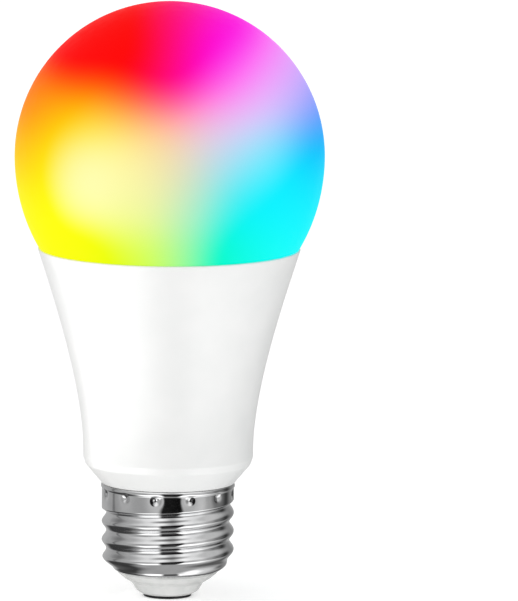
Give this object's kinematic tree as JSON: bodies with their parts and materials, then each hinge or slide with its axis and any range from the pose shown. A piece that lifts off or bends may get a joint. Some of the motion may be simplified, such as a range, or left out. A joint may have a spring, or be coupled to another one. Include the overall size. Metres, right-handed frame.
{
  "type": "smart light bulb",
  "caption": "Pear-shaped colour LED bulb with a frosted globe, a tapered white housing and a nickel screw base, with its light board, radio module and mains driver inside.",
  "frame": {"origin": "middle of the centre contact's flat underside, on the bulb's axis", "axes": "+Z along the bulb's axis, from the contact up to the top of the globe; +X to the right and +Y away from a viewer who sees the front; the driver board stands in the XZ plane"},
  "size_m": [0.061, 0.061, 0.118],
  "materials": {
    "diffuser": "frosted milky polycarbonate, lit from inside",
    "housing": "white semi-gloss moulded PBT",
    "silicone": "cured translucent white silicone",
    "heatsink": "drawn, bare",
    "thermal_pad": "soft grey gap pad",
    "led_board": "aluminium core board under white solder mask",
    "driver_board": "glass-epoxy board under green solder mask",
    "wifi_board": "glass-epoxy board under blue solder mask",
    "screw_steel": "zinc plated",
    "warm_led": "white package, warm phosphor window",
    "cool_led": "white package, cool phosphor window",
    "rgb_led": "white package, clear window",
    "epoxy": "black moulded epoxy with tinned leads",
    "crystal_can": "plated can",
    "connector": "natural nylon",
    "antenna_copper": "gold-plated copper",
    "capacitor_sleeve": "shrink sleeve over an aluminium can",
    "ferrite": "sintered ferrite",
    "bobbin": "black phenolic",
    "winding_tape": "yellow polyester tape over enamelled wire",
    "film_capacitor": "red epoxy dip",
    "varistor": "blue epoxy dip",
    "resistor": "green flameproof lacquer",
    "live_insulation": "red PVC",
    "neutral_insulation": "white PVC",
    "cap_shell": "bright nickel plate on a drawn sheet",
    "cap_insulator": "opaque pale pressed glass",
    "chip_ceramic": "multilayer chip ceramic",
    "contact": "dark tinned eyelet"
  },
  "bodies": {
    "root": {"diffuser_dome": "diffuser", "diffuser_seal": "silicone", "housing_shell": "housing", "heatsink_cup": "heatsink", "thermal_pad": "thermal_pad", "led_board": "led_board", "board_screw_1": "screw_steel", "board_screw_2": "screw_steel", "board_screw_3": "screw_steel", "warm_led_1": "warm_led", "cool_led_1": "cool_led", "rgb_led_1": "rgb_led", "warm_led_2": "warm_led", "cool_led_2": "cool_led", "rgb_led_2": "rgb_led", "warm_led_3": "warm_led", "cool_led_3": "cool_led", "rgb_led_3": "rgb_led", "warm_led_4": "warm_led", "cool_led_4": "cool_led", "rgb_led_4": "rgb_led", "warm_led_5": "warm_led", "cool_led_5": "cool_led", "rgb_led_5": "rgb_led", "warm_led_6": "warm_led", "cool_led_6": "cool_led", "rgb_led_6": "rgb_led", "led_driver_ic": "epoxy", "colour_resistor_1": "epoxy", "colour_resistor_2": "epoxy", "colour_resistor_3": "epoxy", "link_socket": "connector", "wifi_board": "wifi_board", "wifi_antenna": "antenna_copper", "wifi_header": "epoxy", "wifi_chip": "epoxy", "wifi_crystal": "crystal_can", "wifi_capacitor": "chip_ceramic", "driver_board": "driver_board", "link_header": "epoxy", "bulk_capacitor": "capacitor_sleeve", "output_capacitor": "capacitor_sleeve", "filter_inductor": "ferrite", "transformer_core_lower": "ferrite", "transformer_core_upper": "ferrite", "transformer_bobbin": "bobbin", "transformer_winding": "winding_tape", "film_capacitor": "film_capacitor", "varistor": "varistor", "fusible_resistor": "resistor", "bridge_rectifier": "epoxy", "power_ic": "epoxy", "output_diode": "epoxy", "sense_resistor_1": "epoxy", "sense_resistor_2": "epoxy", "screw_shell": "cap_shell", "cap_insulator": "cap_insulator", "centre_contact": "contact", "live_wire": "live_insulation", "neutral_wire": "neutral_insulation"}
  },
  "joints": []
}
